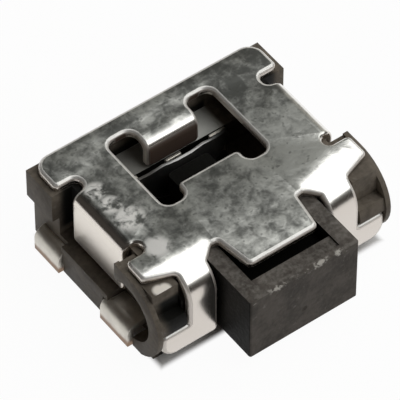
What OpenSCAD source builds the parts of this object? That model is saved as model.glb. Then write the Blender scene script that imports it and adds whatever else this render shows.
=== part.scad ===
// Side-push tactile switch for surface mounting.
// X runs across the switch, the button points to -Y, and Z = 0 is the board.
// Lengths are millimetres. Places along the depth are counted forward from the rear face.

/* [Body] */
// Width across the side walls of the housing
body_w = 3.46; // [3.3:0.01:4.2]
// Height of the top plate above the board
body_h = 1.3; // [1.25:0.01:1.6]
// Underside of the housing above the board
standoff = 0.02; // [0.02:0.01:0.1]
// Top of the moulded floor above the board
floor_top = 0.45; // [0.44:0.01:0.5]
// Depth of the floor, back to front
floor_d = 2.0; // [1.95:0.01:2.03]

/* [Cover sheet] */
// Thickness of the cover sheet
sheet_t = 0.1; // [0.08:0.01:0.12]
// Distance of the top plate's edges from the housing's sides
plate_in = 0.075; // [0.05:0.005:0.1]
// Radius of the plate's rear corners
plate_corner_r = 0.22; // [0.05:0.01:0.25]
// Depth of the plate behind the rear notches
rear_strip_d = 0.5; // [0.4:0.01:0.5]
// Width of the notch behind each side tab
rear_notch_w = 0.2; // [0.15:0.01:0.22]
// Length of each side tab
side_tab_l = 1.03; // [1.0:0.01:1.05]
// Width of the notch in front of each side tab
front_notch_w = 0.18; // [0.12:0.01:0.22]
// Distance of the side tabs' bend lines from the plate's edge
side_bend_in = 0.26; // [0.22:0.01:0.28]
// How far the notches run in past the side tabs' bend lines
notch_relief = 0.05; // [0.02:0.01:0.07]
// Outer radius of the bends at the side tabs and the back tab
tab_bend_r = 0.17; // [0.14:0.01:0.2]
// Gap between the side tabs' lower edges and the ledges below them
side_tab_gap = 0.03; // [0.02:0.01:0.3]
// Depth of the plate as far as the front bends
wing_d = 2.23; // [2.2:0.01:2.25]
// Outer radius of the front bends
wing_bend_r = 0.42; // [0.38:0.01:0.45]
// Lower edge of the front flanges above the board
flange_bottom = 0.17; // [0.12:0.01:0.25]
// Gap between the two front flanges, on each side of the button
flange_gap = 0.04; // [0.02:0.01:0.08]
// Width of the flange strip beside the button
flange_strip_w = 0.42; // [0.35:0.01:0.46]
// Gap between the flange foot and the thin cheek beside it
foot_gap = 0.01; // [0:0.01:0.06]
// Upper edge of the flange foot above the board
flange_foot_top = 0.55; // [0.45:0.01:0.6]
// Radius of the foot's outer lower corner
flange_foot_r = 0.2; // [0.1:0.01:0.25]
// Inner end of the flange window's slanted upper edge, counted from the bend line
window_lip_in = 0.17; // [0.12:0.01:0.18]
// Outer end of the flange window's slanted upper edge, counted from the bend line
window_lip_out = 0.01; // [0:0.01:0.05]
// Radius of the flange window's upper corner
window_lip_r = 0.08; // [0.04:0.01:0.1]

/* [Cover window] */
// Width of the window in the plate
window_w = 1.546; // [1.4:0.01:1.6]
// Rear edge of the window's corner lobes
window_rear = 0.284; // [0.25:0.01:0.32]
// Front edge of the window's corner lobes
window_front = 1.52; // [1.45:0.01:1.54]
// Radius of the lobe corners
window_r = 0.12; // [0.05:0.01:0.15]
// Width of the bent tab at the back of the window
back_tab_w = 0.78; // [0.7:0.01:0.85]
// Bend line of the back tab
back_tab_bend = 0.45; // [0.42:0.01:0.46]
// Drop of the back tab below the top face
back_tab_drop = 0.43; // [0.36:0.01:0.45]
// Width of the flat tab at the front of the window
front_tab_w = 0.9; // [0.8:0.01:0.95]
// Rear edge of the flat front tab
front_tab_end = 1.3; // [1.2:0.01:1.35]

/* [Cover tongue] */
// Width of the tongue at its root
tongue_root_w = 1.196; // [1.1:0.01:1.24]
// Width of the tongue at its end
tongue_end_w = 1.01; // [0.9:0.01:1.08]
// Reach of the tongue in front of the bend lines
tongue_l = 0.58; // [0.45:0.01:0.62]
// Radius of the tongue's corners
tongue_corner_r = 0.07; // [0.02:0.01:0.08]
// Width of the slit beside the tongue's root
slit_w = 0.08; // [0.06:0.01:0.1]
// How far each slit slants forward before it meets the flange's inner edge
slit_slant = 0.21; // [0.1:0.01:0.3]

/* [Housing] */
// Depth of the rear corner posts
post_d = 0.53; // [0.45:0.01:0.58]
// Lower edge of the posts' outer faces above the board
post_skirt = 0.75; // [0.6:0.01:0.85]
// How far the housing steps in below the posts and behind the terminals
side_step = 0.1; // [0.08:0.01:0.11]
// Thickness of the side walls beside the cavity
wall_t = 0.2; // [0.15:0.01:0.2]
// Clearance between the side tabs and the side walls
tab_clear = 0.03; // [0.02:0.01:0.05]
// Thickness of the rear wall where it reaches up to the plate
rear_wall_t = 0.2; // [0.1:0.01:0.25]
// Front of the contact wall
contact_wall_d = 0.59; // [0.57:0.01:0.6]
// Width of the ledge below each side tab
ledge_w = 0.3; // [0.25:0.01:0.31]
// Radius of the round front cheeks
cheek_r = 0.62; // [0.58:0.01:0.64]
// Distance between each side tab and the cheek in front of it
cheek_gap = 0.06; // [0.03:0.01:0.1]
// Thickness of the thin cheek beside each flange foot
cheek_t = 0.07; // [0.05:0.01:0.08]
// Front of the round cheeks, counted from the rear face
cheek_d = 2.67; // [2.65:0.01:2.7]
// Width of the arched rim round each side pocket
pocket_rim = 0.2; // [0.16:0.01:0.25]
// Depth of the side pockets
pocket_in = 0.27; // [0.2:0.01:0.3]
// Clearance between the front walls and the flanges
flange_clear = 0.03; // [0.02:0.01:0.05]
// Rear face of the front walls, where the button's shoulders stop
stop_d = 2.07; // [2.06:0.01:2.09]
// Upright face of the nub in each flange window
nub_face_d = 2.46; // [2.4:0.01:2.5]
// Top of the nub's front step above the board
nub_step_top = 0.78; // [0.7:0.01:0.85]

/* [Button] */
// Width of the button
button_w = 1.6; // [1.56:0.01:1.64]
// Front face of the button, counted from the rear face
button_front = 3.22; // [3.15:0.01:3.3]
// Underside of the button above the board
button_bottom = 0.17; // [0.12:0.01:0.25]
// Clearance between the button and the cover
button_clear = 0.03; // [0.02:0.01:0.05]
// Radius of the button's upright front edges
button_corner_r = 0.03; // [0.01:0.01:0.06]
// Clearance between the shoulders and the side walls
shoulder_side_clear = 0.085; // [0.02:0.005:0.15]
// Depth of the shoulders
shoulder_d = 0.5; // [0.4:0.01:0.52]
// Clearance between the shoulders, the floor and the stops
shoulder_clear = 0.02; // [0.01:0.01:0.03]
// Travel of the button
travel = 0.2; // [0.12:0.01:0.22]
// Gap left between the deep front of the button and the floor when it is pressed
bar_clear = 0.06; // [0.03:0.01:0.1]
// Width of the nose that presses the dome
nose_w = 0.6; // [0.5:0.01:0.7]
// Height of the nose
nose_h = 0.4; // [0.3:0.01:0.5]
// Radius of the nose's corners
nose_r = 0.06; // [0.02:0.01:0.1]
// Thickness of the rails beside the tongue
rail_w = 0.22; // [0.16:0.01:0.28]
// Thickness of the step in front of the tongue
front_step_d = 0.3; // [0.2:0.01:0.35]
// Thickness of the lip along the front edge
front_lip_d = 0.1; // [0.05:0.01:0.12]
// Depth of the step below the rails
front_step_drop = 0.03; // [0.02:0.01:0.1]
// Depth of the pocket under the tongue
tongue_pocket_drop = 0.26; // [0.15:0.01:0.3]
// Radius of the gate mark on the front face
gate_r = 0.045; // [0.02:0.005:0.06]
// Depth of the gate mark
gate_depth = 0.02; // [0.01:0.005:0.03]
// Height of the gate mark above the board
gate_z = 0.51; // [0.4:0.01:0.7]

/* [Snap dome] */
// Length of the dome across the switch
dome_l = 1.56; // [1.5:0.01:1.6]
// Length of the dome's straight upper and lower edges
dome_edge_l = 0.6; // [0.4:0.05:0.9]
// Height of the dome's upright ends
dome_end_h = 0.2; // [0.1:0.01:0.3]
// Gap between the dome and the plate above it
dome_head_gap = 0.15; // [0.1:0.01:0.2]
// Gap between the dome and the floor
dome_floor_gap = 0.04; // [0.02:0.01:0.1]
// Thickness of the dome
dome_t = 0.04; // [0.03:0.005:0.05]
// Radius of the dome's outer face
dome_r = 1.64; // [1.6:0.01:1.8]
// Clearance between the dome and the nose at rest
dome_clear = 0.01; // [0.005:0.005:0.02]

/* [Contacts] */
// Thickness of the contact strips
contact_t = 0.1; // [0.08:0.01:0.11]
// Thickness of the moulded floor over the contact strips
strip_cover = 0.1; // [0.05:0.01:0.12]
// How far the terminals stand out of the housing's sides
terminal_out = 0.06; // [0.05:0.01:0.1]
// Outer bend radius of the terminals
terminal_bend_r = 0.16; // [0.12:0.01:0.16]
// Rear edge of the rear terminals
rear_terminal_start = 0.21; // [0.18:0.01:0.23]
// Width of the rear terminals
rear_terminal_w = 0.5; // [0.4:0.01:0.51]
// Rear edge of the front terminals
front_terminal_start = 1.56; // [1.54:0.01:1.6]
// Width of the front terminals
front_terminal_w = 0.56; // [0.4:0.01:0.6]
// Distance of the side rails' inner edges from the housing's sides
rail_in = 0.48; // [0.45:0.01:0.53]
// Width of the side rails
rail_strip_w = 0.2; // [0.15:0.01:0.22]
// Width of each contact pad
pad_w = 0.24; // [0.2:0.01:0.26]
// Gap between the contact pads and the back tab above them
pad_gap = 0.04; // [0.03:0.01:0.12]
// How far the pads stand out of the contact wall
pad_proud = 0.04; // [0.02:0.01:0.05]

/* [Hidden] */
$fn = 64;
eps = 0.01;
half_w = body_w / 2;
plate_x = half_w - plate_in;
rear_y = button_front / 2;
plate_under = body_h - sheet_t;
side_bend_x = plate_x - side_bend_in;
notch_x = side_bend_x - notch_relief;
side_tab_start = rear_strip_d + rear_notch_w;
side_tab_end = side_tab_start + side_tab_l;
front_notch_end = side_tab_end + front_notch_w;
side_tab_x = side_bend_x + tab_bend_r;
side_tab_drop = body_h - floor_top - side_tab_gap;
wall_x = side_tab_x - sheet_t - tab_clear;
cavity_x = wall_x - wall_t;
shoulder_x = cavity_x - shoulder_side_clear;
back_tab_bottom = body_h - back_tab_drop;
flange_in_x = button_w / 2 + flange_gap;
flange_strip_x = flange_in_x + flange_strip_w;
flange_d = wing_d + wing_bend_r;
flange_back = flange_d - sheet_t;
front_wall_d = flange_back - flange_clear;
cheek_centre_d = cheek_d - cheek_r;
cheek_centre_z = plate_under - cheek_r;
cheek_in_x = half_w - cheek_t;
flange_foot_x = cheek_in_x - foot_gap;
cheek_back_d = side_tab_end + cheek_gap;
nub_x = flange_strip_x + flange_clear;
front_terminal_end = front_terminal_start + front_terminal_w;
step_x = half_w - side_step;
button_top = plate_under - button_clear;
tongue_end = wing_d + tongue_l;
shoulder_front = stop_d - shoulder_clear;
shoulder_back = shoulder_front - shoulder_d;
shoulder_bottom = floor_top + shoulder_clear;
bar_back = floor_d + travel + bar_clear;
strip_top = floor_top - strip_cover;
strip_bottom = strip_top - contact_t;
terminal_x = half_w + terminal_out;
rail_x = half_w - rail_in;
pad_face = contact_wall_d + pad_proud;
dome_bottom = floor_top + dome_floor_gap;
dome_h = plate_under - dome_head_gap - dome_bottom;
dome_z = dome_bottom + dome_h / 2;
dome_inner_r = dome_r - dome_t;
dome_sag = dome_inner_r - sqrt(pow(dome_inner_r, 2) - pow(dome_l / 2, 2) - pow(dome_end_h / 2, 2));
dome_front = pad_face + dome_sag + dome_t;
nose_tip = dome_front + dome_clear;

// Plan outlines are drawn as (x, depth) and stand between two heights.
module plan(z_low, z_high) {
    translate([0, rear_y, z_low])
        linear_extrude(z_high - z_low)
            mirror([0, 1])
                children();
}

// Side outlines are drawn as (depth, height) and run between two places across the switch.
module across(x_low, x_high) {
    translate([x_low, rear_y, 0])
        rotate([90, 0, 90])
            linear_extrude(x_high - x_low)
                mirror([1, 0])
                    children();
}

// Front outlines are drawn as (x, height) and run between two depths.
module along(d_low, d_high) {
    translate([0, rear_y - d_low, 0])
        rotate([90, 0, 0])
            linear_extrude(d_high - d_low)
                children();
}

module both_sides() {
    children();
    mirror([1, 0, 0])
        children();
}

module rect(a_low, a_high, b_low, b_high) {
    translate([a_low, b_low])
        square([a_high - a_low, b_high - b_low]);
}

module rounded_rect(a_low, a_high, b_low, b_high, r) {
    rect(a_low + r, a_high - r, b_low, b_high);
    rect(a_low, a_high, b_low + r, b_high - r);
    for (a = [a_low + r, a_high - r])
        for (b = [b_low + r, b_high - r])
            translate([a, b])
                circle(r);
}

// Section of a sheet that runs flat to a bend line and then turns down.
// The corner of the section is its bend line, with the flat run behind it.
module bent_section(bend_at, top, flat, r, t, drop) {
    rect(bend_at - flat, bend_at, top - t, top);
    intersection() {
        translate([bend_at, top - r])
            difference() {
                circle(r);
                circle(r - t);
            }
        rect(bend_at, bend_at + r, top - r, top);
    }
    rect(bend_at + r - t, bend_at + r, top - drop, top - r);
}

module window_outline() {
    both_sides_2d() {
        rounded_rect(back_tab_w / 2, window_w / 2, window_rear, front_tab_end, window_r);
        rounded_rect(front_tab_w / 2, window_w / 2, back_tab_bend, window_front, window_r);
    }
    rect(-front_tab_w / 2 - window_r, front_tab_w / 2 + window_r, back_tab_bend, front_tab_end);
}

module both_sides_2d() {
    children();
    mirror([1, 0])
        children();
}

// Flat outline of the plate and the tongue, with the window and the notches cut.
module plate_outline() {
    difference() {
        union() {
            rounded_rect(-plate_x, plate_x, 0, wing_d, plate_corner_r);
            rect(-plate_x, plate_x, front_notch_end - plate_corner_r, wing_d);
        }
        window_outline();
        both_sides_2d() {
            rear_notch_outline();
            front_notch_outline();
            rect(side_bend_x, half_w, side_tab_start - eps, side_tab_end + eps);
        }
    }
    tongue_outline();
}

module rear_notch_outline() {
    rounded_rect(notch_x, half_w, rear_strip_d, side_tab_start, rear_notch_w / 2 - eps);
}

module front_notch_outline() {
    rounded_rect(notch_x, half_w, side_tab_end, front_notch_end, front_notch_w / 2 - eps);
}

module tongue_outline() {
    r = tongue_corner_r;
    polygon([
        [-tongue_root_w / 2, wing_d - eps],
        [tongue_root_w / 2, wing_d - eps],
        [tongue_end_w / 2, tongue_end - r],
        [tongue_end_w / 2 - r, tongue_end],
        [r - tongue_end_w / 2, tongue_end],
        [-tongue_end_w / 2, tongue_end - r]
    ]);
    both_sides_2d()
        translate([tongue_end_w / 2 - r, tongue_end - r])
            circle(r);
}

// One front flange: the bend, the strip beside the button and the foot.
module front_flange() {
    difference() {
        across(0, flange_foot_x)
            bent_section(wing_d, body_h, sheet_t, wing_bend_r, sheet_t, body_h - flange_bottom);
        // room for the tongue and the button
        plan(0, body_h + eps)
            polygon([
                [-eps, 0],
                [tongue_root_w / 2 + slit_w, 0],
                [tongue_root_w / 2 + slit_w, wing_d],
                [flange_in_x, wing_d + slit_slant],
                [flange_in_x, flange_d + eps],
                [-eps, flange_d + eps]
            ]);
        // open window between the bend and the foot
        plan(flange_foot_top, body_h + eps)
            flange_window_outline();
        // the plate is no wider than the bend above the foot
        plan(flange_foot_top + flange_foot_r, body_h + eps)
            rect(plate_x, half_w, 0, flange_d + eps);
        foot_corner();
    }
}

// Plan of the open window beside the strip, with a slanted edge towards the plate.
module flange_window_outline() {
    r = window_lip_r;
    polygon([
        [half_w, wing_d + window_lip_out],
        [half_w, flange_d + eps],
        [flange_strip_x, flange_d + eps],
        [flange_strip_x, wing_d + window_lip_in],
        [flange_strip_x + r, wing_d + window_lip_in - r]
    ]);
    translate([flange_strip_x + r, wing_d + window_lip_in])
        circle(r);
}

// Takes the outer lower corner of the foot down to a radius.
module foot_corner() {
    along(wing_d, flange_d + eps)
        difference() {
            rect(flange_foot_x - flange_foot_r, half_w, 0, flange_bottom + flange_foot_r);
            translate([flange_foot_x - flange_foot_r, flange_bottom + flange_foot_r])
                circle(flange_foot_r);
        }
}

module side_tab() {
    along(side_tab_start, side_tab_end)
        bent_section(side_bend_x, body_h, sheet_t, tab_bend_r, sheet_t, side_tab_drop);
}

module back_tab() {
    across(-back_tab_w / 2, back_tab_w / 2)
        bent_section(back_tab_bend, body_h, sheet_t, tab_bend_r, sheet_t, back_tab_drop);
}

module cover() {
    color([0.5, 0.53, 0.51]) {
        plan(plate_under, body_h)
            plate_outline();
        back_tab();
        both_sides() {
            side_tab();
            front_flange();
        }
    }
}

// Round side outline of a front cheek, cut off level with the underside of the plate.
module cheek_outline(r, front_limit) {
    intersection() {
        union() {
            translate([cheek_centre_d, cheek_centre_z])
                circle(r);
            rect(cheek_back_d, cheek_centre_d, standoff, cheek_centre_z + r);
        }
        rect(cheek_back_d, front_limit, standoff, plate_under);
    }
}

// Arched pocket in the side of the housing, open down to the board over the front terminal.
module pocket_outline() {
    r = cheek_r - pocket_rim;
    translate([cheek_centre_d, cheek_centre_z])
        circle(r);
    rect(cheek_centre_d - r, front_terminal_end + shoulder_clear, 0, cheek_centre_z);
}

module housing_floor() {
    plan(standoff, floor_top)
        rect(-step_x, step_x, 0, floor_d);
    both_sides() {
        // floor beside the button
        plan(standoff, floor_top)
            rect(flange_in_x, step_x, floor_d - eps, stop_d + eps);
        // ledge below the side tab
        plan(standoff, floor_top)
            rect(half_w - ledge_w, half_w, side_tab_start, cheek_back_d + eps);
        // step below the corner post
        plan(floor_top, post_skirt)
            rect(cavity_x, step_x, 0, post_d);
    }
}

module housing_walls() {
    // contact wall, low enough to pass under the back tab
    plan(floor_top, back_tab_bottom - shoulder_clear)
        rect(-cavity_x, cavity_x, 0, contact_wall_d);
    plan(floor_top, plate_under)
        rect(-cavity_x, cavity_x, 0, rear_wall_t);
    both_sides() {
        plan(floor_top, plate_under)
            rect(cavity_x, wall_x, 0, stop_d);
        plan(post_skirt, plate_under)
            rect(cavity_x, half_w, 0, post_d);
    }
}

module front_walls() {
    both_sides() {
        across(flange_in_x, nub_x)
            intersection() {
                cheek_outline(cheek_r - 2 * flange_clear, front_wall_d);
                rect(stop_d, front_wall_d, standoff, plate_under);
            }
        difference() {
            across(nub_x, cheek_in_x)
                nub_outline();
            // room for the flange foot
            plan(0, flange_foot_top + flange_clear)
                rect(0, half_w, front_wall_d, cheek_d + eps);
            side_cavity();
        }
        across(cheek_in_x, half_w)
            cheek_outline(cheek_r, cheek_d);
    }
}

// Side outline of the nub that fills each flange window: an upright face over a rounded step.
module nub_outline() {
    difference() {
        cheek_outline(cheek_r - flange_clear, cheek_d);
        rect(nub_face_d, cheek_d, nub_step_top, plate_under);
    }
    rect(cheek_back_d, nub_face_d, standoff, cheek_centre_z + cheek_r - flange_clear);
}

// Keeps the room between the stops clear for the shoulders.
module side_cavity() {
    plan(floor_top, plate_under + eps)
        rect(0, cavity_x, contact_wall_d, stop_d);
}

// Room behind a terminal, so that it lies against the housing's side.
module terminal_recess(start, w) {
    plan(0, strip_top)
        rect(step_x, half_w + eps, start - shoulder_clear, start + w + shoulder_clear);
}

module housing() {
    color([0.13, 0.13, 0.12])
        difference() {
            union() {
                housing_floor();
                housing_walls();
                front_walls();
            }
            both_sides() {
                across(half_w - pocket_in, half_w + eps)
                    pocket_outline();
                terminal_recess(rear_terminal_start, rear_terminal_w);
                terminal_recess(front_terminal_start, front_terminal_w);
            }
            common_strips();
            signal_strips();
        }
}

// Section of a terminal: out of the housing's side and down to the board.
module terminal_section() {
    bent_section(terminal_x - terminal_bend_r, strip_top, terminal_x - terminal_bend_r - rail_x,
        terminal_bend_r, contact_t, strip_top);
}

module terminal(start, w) {
    along(start, start + w)
        terminal_section();
}

module terminals_and_rail() {
    terminal(rear_terminal_start, rear_terminal_w);
    terminal(front_terminal_start, front_terminal_w);
    plan(strip_bottom, strip_top)
        rect(rail_x, rail_x + rail_strip_w, rear_terminal_start, front_terminal_end);
}

// A pad that stands on the contact wall, with its face forward.
module contact_pad(x_mid) {
    across(x_mid - pad_w / 2, x_mid + pad_w / 2)
        rect(pad_face - contact_t, pad_face, strip_bottom, back_tab_bottom - pad_gap);
}

// The common contact: terminals on the left, and a pad at each end of the dome.
module common_strips() {
    pad_x = (dome_l - pad_w) / 2;
    mirror([1, 0, 0])
        terminals_and_rail();
    contact_pad(-pad_x);
    contact_pad(pad_x);
    plan(strip_bottom, strip_top)
        rect(-rail_x, pad_x + pad_w / 2, pad_face - eps, pad_face + pad_w);
}

// The signal contact: terminals on the right, and a pad behind the dome's middle.
module signal_strips() {
    terminals_and_rail();
    contact_pad(0);
    plan(strip_bottom, strip_top)
        rect(-pad_w / 2, rail_x + eps, pad_face - contact_t - pad_w, pad_face - contact_t);
}

module common_contact() {
    color([0.85, 0.8, 0.72])
        common_strips();
}

module signal_contact() {
    color([0.85, 0.8, 0.72])
        signal_strips();
}

// Spherical dome with straight edges and cut corners, bulging towards the button.
module snap_dome() {
    color([0.75, 0.76, 0.75])
        intersection() {
            translate([0, rear_y - dome_front + dome_r, dome_z])
                difference() {
                    sphere(dome_r);
                    sphere(dome_inner_r);
                }
            along(contact_wall_d, dome_front + eps)
                dome_outline();
        }
}

// Front outline of the dome, with slanted edges from its upper and lower edges to its ends.
module dome_outline() {
    translate([0, dome_z])
        polygon([
            [-dome_edge_l / 2, -dome_h / 2],
            [dome_edge_l / 2, -dome_h / 2],
            [dome_l / 2, -dome_end_h / 2],
            [dome_l / 2, dome_end_h / 2],
            [dome_edge_l / 2, dome_h / 2],
            [-dome_edge_l / 2, dome_h / 2],
            [-dome_l / 2, dome_end_h / 2],
            [-dome_l / 2, -dome_end_h / 2]
        ]);
}

module button() {
    color([0.25, 0.23, 0.22])
        difference() {
            union() {
                // nose that presses the dome
                plan(dome_z - nose_h / 2, dome_z + nose_h / 2)
                    rounded_rect(-nose_w / 2, nose_w / 2, nose_tip, shoulder_front, nose_r);
                // shoulders behind the stops
                plan(shoulder_bottom, button_top)
                    rect(-shoulder_x, shoulder_x, shoulder_back, shoulder_front);
                // neck over the floor
                plan(shoulder_bottom, button_top)
                    button_outline(shoulder_back);
                plan(button_bottom, button_top)
                    button_outline(bar_back);
            }
            tongue_pocket();
            gate_mark();
        }
}

// Plan of the button from a given depth to its front face, with rounded front edges.
module button_outline(back) {
    r = button_corner_r;
    rect(-button_w / 2, button_w / 2, back, button_front - r);
    rect(r - button_w / 2, button_w / 2 - r, back, button_front);
    both_sides_2d()
        translate([button_w / 2 - r, button_front - r])
            circle(r);
}

// Stepped recess in the top of the button, under the tongue.
module tongue_pocket() {
    rail_in_x = button_w / 2 - rail_w;
    plan(button_top - front_step_drop, button_top + eps)
        rect(-rail_in_x, rail_in_x, wing_d, button_front - front_lip_d);
    plan(button_top - tongue_pocket_drop, button_top + eps)
        rect(-rail_in_x, rail_in_x, wing_d, button_front - front_step_d);
}

module gate_mark() {
    ball_r = (pow(gate_r, 2) + pow(gate_depth, 2)) / (2 * gate_depth);
    translate([0, rear_y - button_front + gate_depth - ball_r, gate_z])
        sphere(ball_r);
}

housing();
cover();
button();
snap_dome();
common_contact();
signal_contact();
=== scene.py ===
"""Looks of the side-push tactile switch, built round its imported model.

The cover is cut as a flat blank and folded. The mouldings, the contacts and the snap dome are
copies of their solids with rounded edges. Blender's units are metres here, and the meshes are
worked in millimetres before they are scaled down.
"""

import math
from types import SimpleNamespace

import bmesh
import bpy
from bpy.props import FloatProperty, FloatVectorProperty, PointerProperty
from bpy.types import Operator, Panel, PropertyGroup
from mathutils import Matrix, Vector


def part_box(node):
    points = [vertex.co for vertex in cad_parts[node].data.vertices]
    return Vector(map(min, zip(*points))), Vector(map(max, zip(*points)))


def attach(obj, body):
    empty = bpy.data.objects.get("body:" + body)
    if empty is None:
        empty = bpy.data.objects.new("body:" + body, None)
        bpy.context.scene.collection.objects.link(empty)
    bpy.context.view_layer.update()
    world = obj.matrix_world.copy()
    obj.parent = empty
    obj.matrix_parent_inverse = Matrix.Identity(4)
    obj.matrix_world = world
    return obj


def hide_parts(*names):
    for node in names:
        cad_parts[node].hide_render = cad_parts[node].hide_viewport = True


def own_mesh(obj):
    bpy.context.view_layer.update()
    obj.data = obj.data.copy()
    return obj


bl_info = {
    "name": "Side-Push Tactile Switch",
    "version": (1, 0, 0),
    "blender": (4, 5, 0),
    "location": "3D View > Sidebar > Tactile Switch",
    "description": "Dresses the packed model of a side-push tactile switch",
    "category": "Add Mesh",
}

MM = 0.001
RIM = "rim"
# Millimetres within which points are one point, and within which a point lies on a cutting plane.
WELD = 1e-4
ON_PLANE = 1e-5
# Radius at the closed end of a notch or a slit, as a share of its width.
NOTCH_ROUNDING = 0.45
# Faces that meet below the first angle are one flat face. The edges of the solids are rounded above
# the second, and shading breaks above the third.
FLAT_ANGLE = math.radians(1)
ROUNDED_ANGLE = math.radians(28)
SHARP_ANGLE = math.radians(35)
# Ends of what the camera sees, as shares of its distance from the switch.
CLIP_NEAR = 0.1
CLIP_FAR = 40

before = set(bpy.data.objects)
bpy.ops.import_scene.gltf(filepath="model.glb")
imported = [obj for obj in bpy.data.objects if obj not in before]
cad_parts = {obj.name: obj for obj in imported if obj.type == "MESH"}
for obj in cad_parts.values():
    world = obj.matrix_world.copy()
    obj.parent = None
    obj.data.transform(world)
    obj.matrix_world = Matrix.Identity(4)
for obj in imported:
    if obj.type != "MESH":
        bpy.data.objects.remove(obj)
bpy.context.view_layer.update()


def length(name, description, size_mm):
    """A length property whose default is written in millimetres."""
    return FloatProperty(name=name, description=description, default=size_mm * MM, unit="LENGTH")


def factor(name, description, default):
    """A property that is a plain number."""
    return FloatProperty(name=name, description=description, default=default)


def bearing(name, description, degrees):
    """An angle property whose default is written in degrees."""
    radians = math.radians(degrees)
    return FloatProperty(name=name, description=description, default=radians, subtype="ANGLE")


def colour(name, description, red, green, blue):
    """A colour property in scene linear values."""
    return FloatVectorProperty(
        name=name, description=description, default=(red, green, blue), subtype="COLOR", size=3
    )


def node_corner(node, high):
    """The lowest or the highest corner of a solid, in millimetres."""
    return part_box(node)[1 if high else 0] / MM


COVER_LOW = node_corner("cover", False)
COVER_HIGH = node_corner("cover", True)


class CoverSizes(PropertyGroup):
    """Sizes of the folded cover sheet. Depths count forward from its rear edge."""

    top: length("Top", "Height of the top face above the board", COVER_HIGH.z)
    rear: length("Rear", "Place of the rear edge along Y", COVER_HIGH.y)
    plate_x: length("Half width", "Reach of the plate from the middle", COVER_HIGH.x)
    tongue_end: length("Tongue end", "Depth of the tongue's end", COVER_HIGH.y - COVER_LOW.y)
    flange_bottom: length("Flange bottom", "Lower edge of the flanges", COVER_LOW.z)
    sheet_t: length("Sheet", "Thickness of the sheet", 0.1)
    roll_over: length("Roll-over", "Rounding of the upper side of the sheared edges", 0.048)
    burr: length("Burr side", "Rounding of the lower side of the sheared edges", 0.012)
    corner_r: length("Rear corners", "Radius of the plate's rear corners", 0.22)
    rear_strip_d: length("Rear strip", "Depth of the plate behind the rear notches", 0.5)
    rear_notch_w: length("Rear notch", "Width of the notch behind each side tab", 0.2)
    side_tab_l: length("Side tab", "Length of each side tab", 1.03)
    front_notch_w: length("Front notch", "Width of the notch in front of each side tab", 0.18)
    notch_in: length("Notch reach", "Reach of the notches in from the plate's edge", 0.31)
    side_bend_in: length("Side bend", "Distance of the side bend lines from the plate's edge", 0.26)
    tab_bend_r: length("Tab bends", "Outer radius of the bends at the side tabs and the back tab", 0.17)
    side_tab_drop: length("Side tab drop", "Drop of the side tabs below the top face", 0.82)
    wing_d: length("Front bend", "Depth of the front bend lines", 2.23)
    lean_d: length("Lean", "How far behind the front bend lines the sheet starts to lean", 0.14)
    lean_more_d: length("Lean, right", "How much further back the lean starts at the right edge", 0.3)
    wing_bend_r: length("Front bends", "Outer radius of the front bends", 0.42)
    flange_in_x: length("Flange start", "Inner edge of each front flange", 0.84)
    flange_strip_w: length("Flange strip", "Width of the strip beside the button", 0.42)
    flange_foot_x: length("Flange foot", "Reach of the flange foot from the middle", 1.65)
    flange_foot_top: length("Foot top", "Upper edge of the flange foot above the board", 0.55)
    flange_foot_r: length("Foot corner", "Radius of the foot's outer lower corner", 0.2)
    lip_in: length("Lip inside", "Inner end of the flange window's upper edge", 0.17)
    lip_out: length("Lip outside", "Outer end of the flange window's upper edge", 0.025)
    lip_r: length("Lip corner", "Radius of the flange window's upper corner", 0.08)
    tongue_root_w: length("Tongue root", "Width of the tongue at its root", 1.196)
    tongue_end_w: length("Tongue width", "Width of the tongue at its end", 1.01)
    tongue_corner_r: length("Tongue corners", "Radius of the tongue's corners", 0.075)
    slit_w: length("Slit", "Width of the slit beside the tongue's root", 0.08)
    slit_start: length("Slit start", "How far in front of the bend lines the slits begin", 0.06)
    slit_slant: length("Slit slant", "Forward run of the slit's outer edge", 0.21)
    window_w: length("Window", "Width of the window in the plate", 1.546)
    window_rear: length("Window rear", "Rear edge of the window's lobes", 0.284)
    window_front: length("Window front", "Front edge of the window's lobes", 1.52)
    window_r: length("Window corners", "Radius of the window's corners", 0.12)
    back_tab_w: length("Back tab", "Width of the tab at the back of the window", 0.78)
    back_tab_bend: length("Back tab bend", "Bend line of the back tab", 0.45)
    back_tab_drop: length("Back tab drop", "Drop of the back tab below the top face", 0.43)
    front_tab_w: length("Front tab", "Width of the flat tab at the front of the window", 0.9)
    front_tab_end: length("Front tab end", "Rear edge of the flat front tab", 1.3)
    outer_r: length("Outer corners", "Radius of the sheet's outer corners that look square", 0.07)
    inner_r: length("Inner corners", "Radius of the sheet's inner corners that look square", 0.02)


class RoundingSizes(PropertyGroup):
    """How far the edges of the other pieces are rounded."""

    housing: length("Housing", "Rounding of the housing's edges", 0.018)
    button: length("Button", "Rounding of the button's edges", 0.02)
    contact: length("Contacts", "Rounding of the contact strips' edges", 0.02)
    dome: length("Dome", "Rounding of the snap dome's edges", 0.006)


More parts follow.
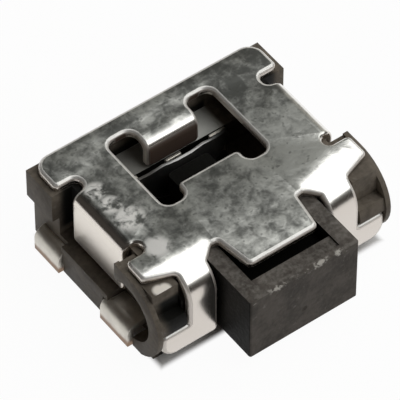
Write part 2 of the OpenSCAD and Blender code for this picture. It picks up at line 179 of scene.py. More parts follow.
class FinishColours(PropertyGroup):
    """Colours of the finishes."""

    cover_dark: colour("Cover, dark blotches", "Dull parts of the cover sheet", 0.125, 0.128, 0.12)
    cover_light: colour("Cover, light blotches", "Bright parts of the cover sheet", 0.56, 0.565, 0.535)
    # Burnish together with a painted highlight, on the bends and the rims.
    cover_edge: colour("Cover, edges", "Burnished bends and rims", 0.9, 0.89, 0.86)
    cover_lip: colour("Cover, back tab", "Shaded face of the tab in the window", 0.1, 0.07, 0.055)
    # Painted reflection: the tone of the flanges' upright faces.
    front_reflection_tone: colour("Cover, front", "Upright faces of the flanges", 0.67, 0.62, 0.57)
    # Painted light on the side tabs, also the painted highlight on the housing's left nub.
    side_light_tone: colour("Cover, sides", "Outer faces of the side tabs", 0.97, 0.91, 0.83)
    housing: colour("Housing", "Charcoal moulding resin", 0.145, 0.124, 0.1)
    button: colour("Button", "Warm dark moulding resin", 0.09, 0.08, 0.071)
    # Also gives the painted glints on the button's upper front edge.
    resin_wear_and_glint: colour("Resin wear", "Rubbed edges and spots of the mouldings", 0.5, 0.48, 0.44)
    plating: colour("Plating", "Plated faces of the contacts", 0.86, 0.82, 0.74)
    # Brown tone towards the terminals' lower edges.
    low_edge_brown: colour("Bare edge", "Cut lower edges of the terminals", 0.3, 0.19, 0.12)
    dome: colour("Dome", "Spring sheet of the snap dome", 0.45, 0.45, 0.44)
    # Painted shade for the pockets, the well and the notches.
    painted_shade_tone: colour("Soot", "Deep shade in the pockets", 0.006, 0.006, 0.005)


class TextureSettings(PropertyGroup):
    """Density, roughness and relief of the finishes. A density counts features to the millimetre."""

    sheet_blotches: factor("Sheet blotches", "Density of the sheet's blotches", 6.5)
    sheet_grain: factor("Sheet grain", "Density of the sheet's grain", 20.0)
    sheet_clouds: factor("Sheet clouds", "Density of the sheet's large patches", 1.4)
    sheet_pits: factor("Sheet pits", "Density of the sheet's dark pits", 13.0)
    sheet_roughness: factor("Sheet roughness", "Roughness of the dull sheet", 0.36)
    rim_roughness: factor("Rim roughness", "Roughness of the sheared rims", 0.3)
    satin_roughness: factor("Satin roughness", "Roughness of the side tabs", 0.34)
    sheet_relief: length("Sheet relief", "Depth of the sheet's blotches", 0.005)
    lean_slope: factor("Lean slope", "Fall of the leaning wings to the millimetre, in sheet reliefs", 18.0)
    resin_clouds: factor("Resin clouds", "Density of the mouldings' soft patches", 3.0)
    resin_specks: factor("Resin specks", "Density of the mouldings' rubbed spots", 9.0)
    resin_roughness: factor("Resin roughness", "Least roughness of the mouldings", 0.4)
    housing_grain: factor("Housing grain", "Density of the housing's grain", 14.0)
    housing_sheen: factor("Housing sheen", "Specular level of the housing", 0.12)
    housing_relief: length("Housing relief", "Depth of the housing's grain", 0.004)
    button_grain: factor("Button grain", "Density of the button's grain", 16.0)
    button_crumbs: factor("Button crumbs", "Density of the button's wear", 11.0)
    button_patches: factor("Button patches", "Density of the places where the button is worn", 3.2)
    button_sheen: factor("Button sheen", "Specular level of the button", 0.05)
    button_relief: length("Button relief", "Depth of the button's grain", 0.006)
    dome_streaks: factor("Dome streaks", "Density of the dome's streaks", 12.0)
    dome_roughness: factor("Dome roughness", "Least roughness of the dome", 0.3)
    dome_relief: length("Dome relief", "Depth of the dome's streaks", 0.001)
    plating_clouds: factor("Plating clouds", "Density of the plating's patches", 5.0)
    plating_roughness: factor("Plating roughness", "Least roughness of the plating", 0.36)
    plating_relief: length("Plating relief", "Depth of the plating's patches", 0.003)


class StudioSettings(PropertyGroup):
    """Camera, light and floor."""

    azimuth: bearing("Azimuth", "Direction of view round the switch", -36.6)
    elevation: bearing("Elevation", "Height of the camera above the board", 49.7)
    view_w: length("View width", "Width that the picture spans at the switch", 4.728)
    lens: factor("Lens", "Focal length in millimetres", 400.0)
    aim_x: length("Aim X", "Middle of the picture on the top face, across", -0.39)
    aim_y: length("Aim Y", "Middle of the picture on the top face, along the depth", -0.068)
    floor: colour("Floor", "Pale floor", 0.96, 0.96, 0.96)
    floor_grain: factor("Floor grain", "Density of the floor's mottling", 0.05)
    floor_reach: length("Floor reach", "Half the width of the floor", 600.0)
    floor_glow: factor("Floor whiteness", "Share of plain white in the seen floor", 0.96)
    shade_x: length("Shade, across", "Half width of the floor that the body hides from the light", 1.6)
    shade_front: length("Shade, front", "Front edge of the floor that the body hides", -0.95)
    shade_rear: length("Shade, rear", "Rear edge of the floor that the body hides", 1.5)
    shade_blur: length("Shade blur", "Width of the shade's soft edge", 0.1)
    softbox: colour("Softbox", "Light of the softbox overhead and in front", 1.75, 1.75, 1.73)
    horizon: colour("Horizon", "Light of the pale wall low at the rear and the right", 0.55, 0.52, 0.47)
    room: colour("Room", "Light of the rest of the room", 0.225, 0.23, 0.22)
    dark_side: colour("Dark side", "Light of the room's left side and its low front", 0.045, 0.039, 0.034)


def millimetres_of(group, *names):
    """Lengths of a property group as plain numbers in millimetres."""
    return SimpleNamespace(**{name: getattr(group, name) / MM for name in names})


def millimetres(group):
    """All lengths of a property group of lengths, in millimetres."""
    return millimetres_of(group, *group.__annotations__)


class Value:
    """A shader output that grows Math nodes when it stands in an expression."""

    def __init__(self, shader, socket):
        self.shader = shader
        self.socket = socket

    def maths(self, operation, *operands):
        settings = {"operation": operation}
        return self.shader.add("ShaderNodeMath", settings, *operands).value(0)

    def __add__(self, other):
        return self.maths("ADD", self, other)

    def __sub__(self, other):
        return self.maths("SUBTRACT", self, other)

    def __rsub__(self, other):
        return self.maths("SUBTRACT", other, self)

    def __mul__(self, other):
        return self.maths("MULTIPLY", self, other)

    def __truediv__(self, other):
        return self.maths("DIVIDE", self, other)

    def at_least(self, other):
        return self.maths("MAXIMUM", self, other)

    def magnitude(self):
        return self.maths("ABSOLUTE", self)

    __radd__ = __add__

    def between(self, low, high):
        """0 below low, 1 above high and a smooth rise between them."""
        smooth = {"interpolation_type": "SMOOTHSTEP"}
        return self.shader.add("ShaderNodeMapRange", smooth, self, low, high).value(0)


class Node:
    """A shader node whose outputs are taken by number or by name."""

    def __init__(self, shader, node):
        self.shader = shader
        self.node = node

    def value(self, key):
        return Value(self.shader, self.node.outputs[key])


def input_called(node, label):
    """The input socket of a node that a keyword such as base_color names."""
    return next(socket for socket in node.inputs if socket.name.lower() == label.replace("_", " "))


def solid(entry):
    """A colour with its alpha, or an output as it is."""
    return entry if isinstance(entry, Value) else (*entry, 1.0)


class Tree:
    """A node tree that its nodes are added to."""

    def __init__(self, tree):
        self.tree = tree

    def add(self, kind, settings, *inputs, **named):
        """A node of that kind. Settings go on the node, and inputs are values or outputs."""
        node = self.tree.nodes.new(kind)
        for key, setting in settings.items():
            setattr(node, key, setting)
        for index, entry in enumerate(inputs):
            self.feed(node.inputs[index], entry)
        for label, entry in named.items():
            self.feed(input_called(node, label), entry)
        return Node(self, node)

    def feed(self, socket, entry):
        if isinstance(entry, Value):
            self.tree.links.new(entry.socket, socket)
        else:
            socket.default_value = entry

    def mix(self, share, first, second):
        """A colour from first at share 0 to second at share 1.

        The node's colour sockets have the same names as its other sockets, so they go by number.
        """
        node = self.tree.nodes.new("ShaderNodeMix")
        node.data_type = "RGBA"
        self.feed(node.inputs["Factor"], share)
        self.feed(node.inputs[6], solid(first))
        self.feed(node.inputs[7], solid(second))
        return Value(self, node.outputs[2])

    def parts(self, vector):
        """The three parts of a vector."""
        node = self.add("ShaderNodeSeparateXYZ", {}, vector)
        return [node.value(axis) for axis in range(3)]


class Shader(Tree):
    """A material's node tree, with its Principled shader."""

    def __init__(self, name, **constants):
        self.material = bpy.data.materials.new(name)
        self.material.use_nodes = True
        super().__init__(self.material.node_tree)
        self.principled = self.tree.nodes["Principled BSDF"]
        for label, constant in constants.items():
            input_called(self.principled, label).default_value = constant
        coordinates = self.add("ShaderNodeTexCoord", {})
        self.point = coordinates.value("Object")
        self.normal = coordinates.value("Normal")

    def noise(self, per_mm, detail=3.0, roughness=0.5, distortion=0.0):
        """Noise from about 0 to 1 with that many features to the millimetre."""
        return self.add(
            "ShaderNodeTexNoise", {}, vector=self.point, scale=per_mm / MM,
            detail=detail, roughness=roughness, distortion=distortion,
        ).value(0)

    def where(self):
        """The surface point's three coordinates, in millimetres."""
        return [part * (1 / MM) for part in self.parts(self.point)]

    def spots(self, places, across, along):
        """Soft round spots from their x, y and radius in millimetres, full in the inner fifth."""
        share = 0
        for x, y, radius in places:
            reach = ((across - x) * (across - x) + (along - y) * (along - y)) / radius ** 2
            share = (1 - reach.between(0.2, 1)).at_least(share)
        return share

    def finish(self, base, roughness, height=None, depth=0.0, metallic=0.0):
        """Feeds the shader, with a bump of that depth."""
        self.feed(self.principled.inputs["Base Color"], base)
        self.feed(self.principled.inputs["Roughness"], roughness)
        self.feed(self.principled.inputs["Metallic"], metallic)
        if height is not None:
            bump = self.add("ShaderNodeBump", {}, height=height, distance=depth, strength=1.0)
            self.feed(self.principled.inputs["Normal"], bump.value(0))
        return self.material


def scaled(tint, share):
    """A colour with each of its parts times share."""
    return [part * share for part in tint]


# Places set apart by painted light, painted shade or wear, each with its x, y and radius in millimetres:
# the painted highlight on the left nub's edge, the painted shade on the step in front of that nub, the
# scuffs along the plate's left bend, the painted shade in the rear notches, and the front notches, whose
# rims are not lightened.
NUB_HIGHLIGHT = ((-1.53, -0.8, 0.1), (-1.46, -0.82, 0.1))
NUB_STEP = ((-1.4, -0.93, 0.26),)
SCUFFS = ((-1.3, 0.78, 0.17), (-1.28, 0.5, 0.17), (-1.22, 0.2, 0.24), (-1.22, -0.34, 0.2))
REAR_NOTCHES = ((-1.46, 1.01, 0.2), (1.46, 1.01, 0.2))
FRONT_NOTCHES = ((-1.47, -0.21, 0.28), (1.47, -0.21, 0.28))


def mottled(shader, finish, texture, across, along, blotches):
    """Lightness and colour of the sheet's blotches. Painted light brightens the plate at the front right.
    """
    grain = shader.noise(texture.sheet_grain, detail=1.0)
    clouds = shader.noise(texture.sheet_clouds, detail=2.0)
    pits = shader.noise(texture.sheet_pits, detail=1.0).between(0.62, 0.74)
    # Painted light: the plate is lightened towards the front right.
    painted_front_right_light = across.between(0.1, 1.1) * (0.8 - along.between(-0.3, 1.2)) * 0.25
    light = (blotches * 0.65 + grain * 0.12 + clouds * 0.35 + painted_front_right_light).between(0.42, 0.74)
    sheet = shader.mix(light, finish.cover_dark, finish.cover_light)
    return light, shader.mix(pits * 0.5, sheet, scaled(finish.cover_dark, 0.5))


def leaning_wings(size, across, along):
    """How far the sheet beside the tongue has begun to lean to the front, and the run of that lean."""
    end = size.rear - size.wing_d - size.wing_bend_r / 2
    run = size.wing_bend_r / 2 + size.lean_d + across.between(0.62, 1.6) * size.lean_more_d
    beside_tongue = across.magnitude().between(0.6, 0.74)
    return (1 - along.between(end, run + end)) * beside_tongue, run


def cover_material(finish, texture, size):
    """Mottled satin sheet with burnish and painted highlight on its bends and rims, and satin side tabs.
    """
    shader = Shader("cover_sheet")
    across, along, _ = shader.where()
    sideways, forward, upward = shader.parts(shader.normal)
    blotches = shader.noise(texture.sheet_blotches, detail=4.0, roughness=0.55, distortion=0.3)
    light, base = mottled(shader, finish, texture, across, along, blotches)

    # Bends and sheared rims get burnish and a painted highlight; scuffs are rubbed bright.
    leaning, run = leaning_wings(size, across, along)
    burnished_and_highlit = (1 - upward.between(0.75, 0.99)).at_least(leaning.between(0.05, 0.4))
    rim = shader.add("ShaderNodeAttribute", {"attribute_name": RIM}).value("Fac")
    rim = rim * (1 - shader.spots(FRONT_NOTCHES, across, along))
    scuffed = shader.spots(SCUFFS, across, along) * blotches.between(0.36, 0.54)
    bright = burnished_and_highlit.at_least(rim * (blotches * 0.4 + 0.6)).at_least(scuffed)
    base = shader.mix(bright, base, finish.cover_edge)

    # Painted light on upright faces: reflection on the flanges, lit side tabs, shaded tab in the window.
    steep = 1 - upward.between(0.45, 0.8)
    base = shader.mix(steep, base, finish.front_reflection_tone)
    satin = sideways.magnitude().between(0.8, 0.97)
    base = shader.mix(satin, base, finish.side_light_tone)
    in_window = along.between(0.2, 0.3) * (1 - across.magnitude().between(0.6, 0.66))
    lip = in_window * (1 - forward.between(-0.97, -0.8))
    base = shader.mix(lip, base, finish.cover_lip)

    roughness = (texture.sheet_roughness - light * 0.06) * (1 - burnished_and_highlit * 0.6) + steep * 0.1
    roughness = roughness.at_least(rim * texture.rim_roughness).at_least(satin * texture.satin_roughness)
    height = blotches * (1 - burnished_and_highlit * 0.85) - leaning * run * texture.lean_slope
    metallic = 1 - (rim * 0.55).at_least(satin * 0.25).at_least(scuffed * 0.85).at_least(lip)
    return shader.finish(base, roughness, height, texture.sheet_relief, metallic)


def resin_material(name, tint, finish, texture, grain_density, sheen):
    """Moulded resin: fine grain, soft clouds and a few rubbed spots."""
    shader = Shader(name, specular_ior_level=sheen)
    clouds = shader.noise(texture.resin_clouds, detail=3.0)
    grain = shader.noise(grain_density, detail=3.0, roughness=0.6)
    specks = shader.noise(texture.resin_specks, detail=4.0, roughness=0.7).between(0.6, 0.75)
    light = (clouds * 0.6 + grain * 0.4).between(0.35, 0.65)
    tone = shader.mix(light, scaled(tint, 0.72), scaled(tint, 1.28))
    base = shader.mix(specks * 0.2, tone, finish.resin_wear_and_glint)
    roughness = texture.resin_roughness + grain * 0.2
    return shader, base, roughness, grain + clouds * 0.6


def housing_material(finish, texture):
    """Charcoal resin of the housing, painted shade in the window, painted highlight on the nub by the
    button.
    """
    shader, base, roughness, height = resin_material(
        "housing_resin", finish.housing, finish, texture, texture.housing_grain, texture.housing_sheen
    )
    across, along, up = shader.where()
    upward = shader.parts(shader.normal)[2]

    # Painted shade fills the well under the window; painted light, stronger to the right, tops its rear
    # wall.
    inside = up.between(0.3, 0.4) * (1 - up.between(0.92, 1.05))
    inside = inside * (1 - across.magnitude().between(0.74, 0.8))
    inside = inside * along.between(-0.5, -0.4) * (1 - along.between(1.4, 1.5))
    ledge = inside * upward.between(0.7, 0.95) * up.between(0.7, 0.8)
    lit = ledge * (across.between(-0.7, 0.4) * 0.6 + 0.4)
    base = shader.mix(inside - lit, base, finish.painted_shade_tone)
    base = shader.mix(lit, base, finish.cover_light)

    # Painted highlight on the left nub; painted shade fills the step before it and the rear notches.
    nub = shader.spots(NUB_HIGHLIGHT, across, along) * upward.between(0.5, 0.9) * up.between(1.1, 1.15)
    base = shader.mix(nub, base, finish.side_light_tone)
    painted_shade = shader.spots(REAR_NOTCHES, across, along) * up.between(0.5, 0.6)
    painted_shade = painted_shade.at_least(shader.spots(NUB_STEP, across, along) * (1 - up.between(0.95, 1.05)))
    base = shader.mix(painted_shade, base, finish.painted_shade_tone)
    return shader.finish(base, roughness, height, texture.housing_relief)


def button_material(finish, texture):
    """Warm dark resin of the button, painted shade in its pocket, wear and painted glints on its upper
    front edge.
    """
    shader, base, roughness, height = resin_material(
        "button_resin", finish.button, finish, texture, texture.button_grain, texture.button_sheen
    )
    low, high = (node_corner("button", end) for end in (False, True))
    across, along, up = shader.where()
    sideways, _, upward = shader.parts(shader.normal)

    # Wear and painted glints along the upper front edge, and faint scuffs on the faces that look up.
    crumbs = shader.noise(texture.button_crumbs, detail=3.0, roughness=0.7)
    patches = shader.noise(texture.button_patches, detail=1.0).between(0.45, 0.55)
    front = 1 - along.between(low.y + 0.03, low.y + 0.07)
    top = up.between(high.z - 0.06, high.z - 0.03)
    # Wear mixed with painted glints along the upper front edge.
    worn = front * top * crumbs.between(0.5, 0.58) * patches
    scuffed = upward.between(0.7, 0.95) * crumbs.between(0.35, 0.72) * 0.22
    base = shader.mix(worn.at_least(scuffed), base, finish.resin_wear_and_glint)

    # Shade in the pocket under the tongue and on the faces in the cover's opening.
    pocket = up.between(high.z - 0.32, high.z - 0.3) * (1 - up.between(high.z - 0.12, high.z - 0.06))
    pocket = pocket * along.between(low.y + 0.27, low.y + 0.28)
    pocket = pocket * (1 - across.magnitude().between(0.59, 0.61))
    side = sideways.magnitude().between(0.7, 0.95)
    base = shader.mix(pocket.at_least(side * 0.92), base, finish.painted_shade_tone)
    return shader.finish(base, roughness, height + crumbs * 0.8, texture.button_relief)


def dome_material(finish, texture):
    """Smooth spring sheet."""
    shader = Shader("dome_sheet")
    streaks = shader.noise(texture.dome_streaks, detail=2.0)
    base = shader.mix(streaks, scaled(finish.dome, 0.8), finish.dome)
    roughness = texture.dome_roughness + streaks * 0.12
    return shader.finish(base, roughness, streaks, texture.dome_relief, metallic=1.0)


def contact_material(finish, texture):
    """Satin plated strip that turns brown towards its lower edges."""
    shader = Shader("contact_plating")
    clouds = shader.noise(texture.plating_clouds, detail=3.0)
    plating = shader.mix(clouds.between(0.35, 0.7), scaled(finish.plating, 0.82), finish.plating)
    # Brown towards the bottom of the strip, by height above the board.
    brown_low = 1 - (shader.where()[2] + clouds * 0.05).between(0.08, 0.16)
    base = shader.mix(brown_low, plating, finish.low_edge_brown)
    roughness = texture.plating_roughness + clouds * 0.12
    return shader.finish(base, roughness, clouds, texture.plating_relief, metallic=0.75)


def rounded(corners, steps=6):
    """Outline points from (x, depth, radius) corners, with an arc at each rounded one."""
    points = []
    for index, (x, depth, radius) in enumerate(corners):
        corner = Vector((x, -depth))
        before = Vector((corners[index - 1][0], -corners[index - 1][1])) - corner
        following = corners[(index + 1) % len(corners)]
        after = Vector((following[0], -following[1])) - corner
        half_angle = before.angle(after) / 2
        middle = (before.normalized() + after.normalized()).normalized()
        centre = corner + middle * (radius / math.sin(half_angle))
        start = corner + before.normalized() * (radius / math.tan(half_angle)) - centre
        end = corner + after.normalized() * (radius / math.tan(half_angle)) - centre
        for step in range(steps + 1):
            points.append(centre + start.lerp(end, step / steps).normalized() * radius)
    return points


def mirrored(half):
    """Both halves of an outline whose right half runs from the front to the rear."""
    return half + [(-x, depth, radius) for x, depth, radius in reversed(half)]


def filled(outlines):
    """A flat mesh between an outer outline and the outlines of its openings."""
    bm = bmesh.new()
    edges = []
    for outline in outlines:
        verts = [bm.verts.new((*point, 0)) for point in outline]
        edges += [bm.edges.new(pair) for pair in zip(verts, verts[1:] + verts[:1])]
    bmesh.ops.triangle_fill(bm, edges=edges, use_beauty=True, use_dissolve=False)
    if next(iter(bm.faces)).normal.z < 0:
        bmesh.ops.reverse_faces(bm, faces=bm.faces)
    return bm


def thicken(bm, sheet_t, roll_over, burr, steps=4):
    """Gives a flat blank its thickness, with rounded upper and lower edges."""
    rim = bm.faces.layers.float.new(RIM)
    bottom = bm.faces[:]
    made = bmesh.ops.extrude_face_region(bm, geom=bottom, use_keep_orig=True)
    top = [item for item in made["geom"] if isinstance(item, bmesh.types.BMFace)]
    lift = [item for item in made["geom"] if isinstance(item, bmesh.types.BMVert)]
    bmesh.ops.translate(bm, vec=(0, 0, sheet_t - roll_over - burr), verts=lift)
    bm.normal_update()
    for faces, radius in ((top, roll_over), (bottom, burr)):
        for step in range(steps):
            low, high = (math.pi / 2 * part / steps for part in (step, step + 1))
            ring = bmesh.ops.inset_region(
                bm, faces=faces, use_boundary=True, use_even_offset=True,
                thickness=radius * (math.cos(low) - math.cos(high)),
                depth=radius * (math.sin(high) - math.sin(low)),
            )
            for face in ring["faces"]:
                face[rim] = 1
    bmesh.ops.recalc_face_normals(bm, faces=bm.faces)
    lowest = min(vert.co.z for vert in bm.verts)
    bmesh.ops.translate(bm, vec=(0, 0, -lowest), verts=bm.verts)


def developed(radius, drop):
    """Length of the blank past a bend line that ends that far below the top face."""
    return radius * math.pi / 2 + drop - radius


def on_bend(radius, reach):
    """Length of the blank past a bend line that reaches that far forward on the bend."""
    return radius * math.asin(reach / radius)


def fold(bm, beyond, plane, move, radius, sheet_t, slices=12):
    """Bends what lies beyond a line down by a right angle, with slices cut across the bend.

    beyond says whether a point lies past the line, plane gives the cut at a reach past it, and move
    takes a vertex from the flat blank to the bend.
    """
    for cut in range(slices + 1):
        reach = radius * math.pi / 2 * cut / slices
        faces = [face for face in bm.faces if any(beyond(vert.co) for vert in face.verts)]
        parts = dict.fromkeys(faces)
        for face in faces:
            parts.update(dict.fromkeys((*face.edges, *face.verts)))
        plane_co, plane_no = plane(reach)
        bmesh.ops.bisect_plane(bm, geom=list(parts), dist=ON_PLANE, plane_co=plane_co, plane_no=plane_no)
    for vert in [vert for vert in bm.verts if beyond(vert.co)]:
        move(vert, radius, sheet_t)


def turned_down(past, height, radius, sheet_t):
    """Reach and drop of a point that lay that far past the bend line in the blank."""
    angle = min(max(past, 0) / radius, math.pi / 2)
    arm = radius - sheet_t + height
    return arm * math.sin(angle), radius - arm * math.cos(angle) + past - radius * angle


def side_tab_ends(size):
    """Depths of the rear edge and the front edge of the side tabs."""
    rear = size.rear_strip_d + size.rear_notch_w
    return rear, rear + size.side_tab_l


def outer_outline(size):
    """The blank's outer edge, with the side tabs and the flanges laid flat."""
    notch_x = size.plate_x - size.notch_in
    tab_x = size.plate_x - size.side_bend_in + developed(size.tab_bend_r, size.side_tab_drop)
    tab_rear, tab_front = side_tab_ends(size)
    slit_x = size.tongue_root_w / 2 + size.slit_w
    slit_r = size.slit_w * NOTCH_ROUNDING
    rear_notch_r = size.rear_notch_w * NOTCH_ROUNDING
    front_notch_r = size.front_notch_w * NOTCH_ROUNDING
    # The tongue has narrowed a little by the ends of its slits.
    root_x = size.tongue_root_w / 2 - size.slit_start / 5
    strip_x = size.flange_in_x + size.flange_strip_w
    bend_r = size.wing_bend_r
    flange_end = size.wing_d + developed(bend_r, size.top - size.flange_bottom)
    foot_start = size.wing_d + developed(bend_r, size.top - size.flange_foot_top)
    square, inner = size.outer_r, size.inner_r
    return mirrored([
        (size.tongue_end_w / 2, size.tongue_end, size.tongue_corner_r),
        (root_x, size.wing_d + size.slit_start, slit_r),
        (slit_x, size.wing_d + size.slit_start, slit_r),
        (size.flange_in_x, size.wing_d + on_bend(bend_r, size.slit_slant), inner),
        (size.flange_in_x, flange_end, square),
        (size.flange_foot_x, flange_end, size.flange_foot_r),
        (size.flange_foot_x, foot_start, square),
        (strip_x, foot_start, inner),
        (strip_x, size.wing_d + on_bend(bend_r, size.lip_in), size.lip_r),
        (size.plate_x, size.wing_d + size.lip_out, square),
        (size.plate_x, tab_front + size.front_notch_w, square),
        (notch_x, tab_front + size.front_notch_w, front_notch_r),
        (notch_x, tab_front, front_notch_r),
        (tab_x, tab_front, square),
        (tab_x, tab_rear, square),
        (notch_x, tab_rear, rear_notch_r),
        (notch_x, size.rear_strip_d, rear_notch_r),
        (size.plate_x, size.rear_strip_d, square),
        (size.plate_x, 0, size.corner_r),
    ])


def window_outline(size):
    """The window's edge, with the back tab laid flat in it."""
    back_tab_end = size.back_tab_bend + developed(size.tab_bend_r, size.back_tab_drop)
    return mirrored([
        (size.front_tab_w / 2, size.front_tab_end, size.outer_r),
        (size.front_tab_w / 2, size.window_front, size.window_r),
        (size.window_w / 2, size.window_front, size.window_r),
        (size.window_w / 2, size.window_rear, size.window_r),
        (size.back_tab_w / 2, size.window_rear, size.window_r),
        (size.back_tab_w / 2, back_tab_end, size.outer_r),
    ])


def fold_side_tab(bm, size, side):
    """Folds the side tab on one side, where side is 1 or -1."""
    bend_x = size.plate_x - size.side_bend_in
    tab_rear, tab_front = side_tab_ends(size)
    # The rims stand out a little past both edges.
    slack = size.rear_notch_w / 10

    def beyond(co):
        return co.x * side > bend_x - WELD and tab_rear - slack < -co.y < tab_front + slack

    def plane(reach):
        return (side * (bend_x + reach), 0, 0), (1, 0, 0)

    def move(vert, radius, sheet_t):
        reach, drop = turned_down(vert.co.x * side - bend_x, vert.co.z, radius, sheet_t)
        vert.co.x = side * (bend_x + reach)
        vert.co.z = sheet_t - drop

    fold(bm, beyond, plane, move, size.tab_bend_r, size.sheet_t)


def fold_forward(bm, size, bend_d, radius, inside):
    """Folds down what lies in front of a bend line across the switch, where inside says so."""

    def beyond(co):
        return -co.y > bend_d - WELD and inside(co)

    def plane(reach):
        return (0, -bend_d - reach, 0), (0, 1, 0)

    def move(vert, radius, sheet_t):
        reach, drop = turned_down(-vert.co.y - bend_d, vert.co.z, radius, sheet_t)
        vert.co.y = -bend_d - reach
        vert.co.z = sheet_t - drop

    fold(bm, beyond, plane, move, radius, size.sheet_t)


def folded_cover(size):
    """The cover: one sheet, cut with its window and notches, and folded at five places."""
    bm = filled([rounded(outer_outline(size)), rounded(window_outline(size))])
    thicken(bm, size.sheet_t, size.roll_over, size.burr)
    for side in (-1, 1):
        fold_side_tab(bm, size, side)
    tab_x = size.back_tab_w / 2 + size.burr
    slit_x = (size.tongue_root_w + size.slit_w) / 2
    tab_end = size.back_tab_bend + developed(size.tab_bend_r, size.back_tab_drop) + size.burr
    fold_forward(bm, size, size.wing_d, size.wing_bend_r, lambda co: abs(co.x) > slit_x)
    fold_forward(
        bm, size, size.back_tab_bend, size.tab_bend_r, lambda co: abs(co.x) < tab_x and -co.y < tab_end
    )
    bmesh.ops.translate(bm, vec=(0, size.rear, size.top - size.sheet_t), verts=bm.verts)
    return bm


def softened(node, radius, segments=3):
    """A copy of a solid's mesh with its sharp edges rounded."""
    bm = bmesh.new()
    bm.from_mesh(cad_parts[node].data)
    bmesh.ops.scale(bm, vec=(1 / MM,) * 3, verts=bm.verts)
    bmesh.ops.remove_doubles(bm, verts=bm.verts, dist=WELD)
    bmesh.ops.dissolve_limit(bm, angle_limit=FLAT_ANGLE, verts=bm.verts, edges=bm.edges)
    edges = [edge for edge in bm.edges if edge.calc_face_angle(0) > ROUNDED_ANGLE]
    bmesh.ops.bevel(
        bm, geom=edges, offset=radius, offset_type="OFFSET", segments=segments, profile=0.5,
        affect="EDGES", clamp_overlap=True, material=-1,
    )
    return bm


def place(name, bm, material, body, node):
    """Makes the piece from a mesh in millimetres. It rides on its body and stands for its solid."""
    bmesh.ops.scale(bm, vec=(MM,) * 3, verts=bm.verts)
    mesh = bpy.data.meshes.new(name)
    bm.to_mesh(mesh)
    bm.free()
    mesh.polygons.foreach_set("use_smooth", [True] * len(mesh.polygons))
    mesh.set_sharp_from_angle(angle=SHARP_ANGLE)
    mesh.materials.append(material)
    piece = bpy.data.objects.new(name, mesh)
    bpy.context.scene.collection.objects.link(piece)
    weighted = piece.modifiers.new("Weighted normals", "WEIGHTED_NORMAL")
    weighted.keep_sharp = True
    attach(piece, body)
    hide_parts(node)
    return piece


class SWITCH_OT_cover(Operator):
    """Cut the cover sheet flat and fold it"""

    bl_idname = "switch.cover"
    bl_label = "Folded Cover"

    def execute(self, context):
        scene = context.scene
        size = millimetres(scene.switch_cover)
        material = cover_material(scene.switch_finish, scene.switch_texture, size)
        place("folded_cover", folded_cover(size), material, "switch_body", "cover")
        return {"FINISHED"}


class SWITCH_OT_mouldings(Operator):
    """Make the housing and the button with rounded edges"""

    bl_idname = "switch.mouldings"
    bl_label = "Mouldings"

    def execute(self, context):
        scene = context.scene
        radii = millimetres(scene.switch_rounding)
        bm = softened("housing", radii.housing)
        resin = housing_material(scene.switch_finish, scene.switch_texture)
        place("moulded_housing", bm, resin, "switch_body", "housing")
        bm = softened("button", radii.button)
        resin = button_material(scene.switch_finish, scene.switch_texture)
        place("moulded_button", bm, resin, "push_button", "button")
        return {"FINISHED"}


class SWITCH_OT_contacts(Operator):
    """Make the snap dome and the two plated contacts"""

    bl_idname = "switch.contacts"
    bl_label = "Contacts and Dome"

    def execute(self, context):
        scene = context.scene
        radii = millimetres(scene.switch_rounding)
        plating = contact_material(scene.switch_finish, scene.switch_texture)
        for node in ("common_contact", "signal_contact"):
            bm = softened(node, radii.contact)
            place("plated_" + node, bm, plating, "switch_body", node)
        bm = softened("snap_dome", radii.dome)
        sheet = dome_material(scene.switch_finish, scene.switch_texture)
        dome = place("spring_dome", bm, sheet, "switch_body", "snap_dome")
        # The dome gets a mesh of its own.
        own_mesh(dome)
        return {"FINISHED"}


def direction(azimuth, elevation):
    """Unit vector from the switch towards a point at those angles."""
    level = math.cos(elevation)
    return Vector((math.sin(azimuth) * level, -math.cos(azimuth) * level, math.sin(elevation)))


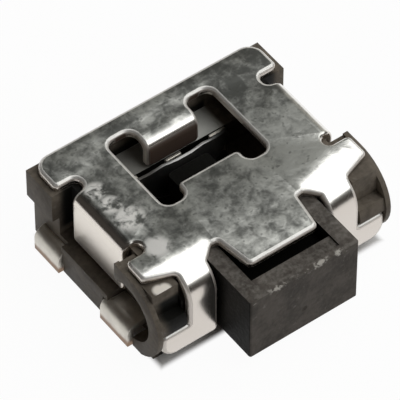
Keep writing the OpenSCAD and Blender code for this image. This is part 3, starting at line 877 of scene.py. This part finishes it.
class SWITCH_OT_stage(Operator):
    """Set the floor, the room's light and the camera"""

    bl_idname = "switch.stage"
    bl_label = "Studio"

    def execute(self, context):
        studio = context.scene.switch_studio
        self.make_floor(studio)
        self.make_room(studio)
        self.make_camera(studio)
        context.scene.view_settings.view_transform = "Standard"
        return {"FINISHED"}

    def make_floor(self, studio):
        """A pale floor that looks nearly white, but sends no such light up from below the body."""
        bm = bmesh.new()
        bmesh.ops.create_grid(bm, x_segments=1, y_segments=1, size=studio.floor_reach)
        mesh = bpy.data.meshes.new("floor")
        bm.to_mesh(mesh)
        bm.free()
        shader = Shader("floor_paper")
        grain = shader.noise(studio.floor_grain, detail=2.0)
        base = shader.mix(grain, scaled(studio.floor, 0.995), studio.floor)
        shader.finish(base, roughness=0.9)
        path = shader.add("ShaderNodeLightPath", {})
        seen = path.value("Is Camera Ray")
        for kind in ("Is Glossy Ray", "Is Transmission Ray"):
            seen = seen.at_least(path.value(kind))
        across, along, _ = shader.where()
        shade = millimetres_of(studio, "shade_x", "shade_front", "shade_rear", "shade_blur")
        middle = (shade.shade_front + shade.shade_rear) / 2
        half_depth = (shade.shade_rear - shade.shade_front) / 2
        past_side = across.magnitude() - shade.shade_x
        past_end = (along - middle).magnitude() - half_depth
        outside = past_side.at_least(past_end).between(0, shade.shade_blur)
        white = shader.add("ShaderNodeEmission", {}, (1, 1, 1, 1), 1.0)
        matt = Value(shader, shader.principled.outputs[0])
        glow = seen * outside * studio.floor_glow
        paper = shader.add("ShaderNodeMixShader", {}, glow, matt, white.value(0))
        shader.feed(shader.tree.nodes["Material Output"].inputs["Surface"], paper.value(0))
        mesh.materials.append(shader.material)
        floor = bpy.data.objects.new("floor", mesh)
        bpy.context.scene.collection.objects.link(floor)

    def make_room(self, studio):
        """A large softbox overhead and in front, a pale wall low at the rear, and a dark left side.

        Each fills a range of directions, given by the parts of the direction's unit vector.
        """
        world = bpy.data.worlds.new("room")
        world.use_nodes = True
        bpy.context.scene.world = world
        room = Tree(world.node_tree)
        across, along, up = room.parts(room.add("ShaderNodeTexCoord", {}).value("Generated"))
        lit_side = across.between(-0.12, 0.22)
        open_room = lit_side * up.between(0.2, 0.5).at_least(along.between(-0.3, 0.1))
        light = room.mix(open_room, studio.dark_side, studio.room)
        wall = (1 - up.between(0.42, 0.6)) * along.between(-0.2, 0.2) * across.between(-0.2, 0.2)
        light = room.mix(wall, light, studio.horizon)
        softbox = (up * 0.45 - along).between(-0.06, 0.06) * up.between(0.4, 0.5) * lit_side
        light = room.mix(softbox, light, studio.softbox)
        room.feed(room.tree.nodes["Background"].inputs["Color"], light)

    def make_camera(self, studio):
        """A long lens that looks at the top face."""
        data = bpy.data.cameras.new("camera")
        data.lens = studio.lens
        reach = studio.view_w * data.lens / data.sensor_width
        data.clip_start = reach * CLIP_NEAR
        data.clip_end = reach * CLIP_FAR
        camera = bpy.data.objects.new("camera", data)
        bpy.context.scene.collection.objects.link(camera)
        bpy.context.scene.camera = camera
        towards = direction(studio.azimuth, studio.elevation)
        camera.location = Vector((studio.aim_x, studio.aim_y, COVER_HIGH.z * MM)) + towards * reach
        camera.rotation_euler = towards.to_track_quat("Z", "Y").to_euler()


class SWITCH_PT_panel(Panel):
    """Sizes, finishes and steps of the switch"""

    bl_idname = "SWITCH_PT_panel"
    bl_label = "Tactile Switch"
    bl_space_type = "VIEW_3D"
    bl_region_type = "UI"
    bl_category = "Tactile Switch"

    def draw(self, context):
        layout = self.layout
        for operator in OPERATORS:
            layout.operator(operator.bl_idname)
        for group_name, group in GROUPS.items():
            box = layout.box()
            for name in group.__annotations__:
                box.prop(getattr(context.scene, group_name), name)


GROUPS = {
    "switch_cover": CoverSizes,
    "switch_rounding": RoundingSizes,
    "switch_finish": FinishColours,
    "switch_texture": TextureSettings,
    "switch_studio": StudioSettings,
}
OPERATORS = (SWITCH_OT_cover, SWITCH_OT_mouldings, SWITCH_OT_contacts, SWITCH_OT_stage)
CLASSES = (*GROUPS.values(), *OPERATORS, SWITCH_PT_panel)


def register():
    for cls in CLASSES:
        bpy.utils.register_class(cls)
    for name, group in GROUPS.items():
        setattr(bpy.types.Scene, name, PointerProperty(type=group))


def unregister():
    for name in GROUPS:
        delattr(bpy.types.Scene, name)
    for cls in reversed(CLASSES):
        bpy.utils.unregister_class(cls)


def main():
    register()
    bpy.ops.switch.stage()
    bpy.ops.switch.cover()
    bpy.ops.switch.mouldings()
    bpy.ops.switch.contacts()


if __name__ == "__main__":
    main()
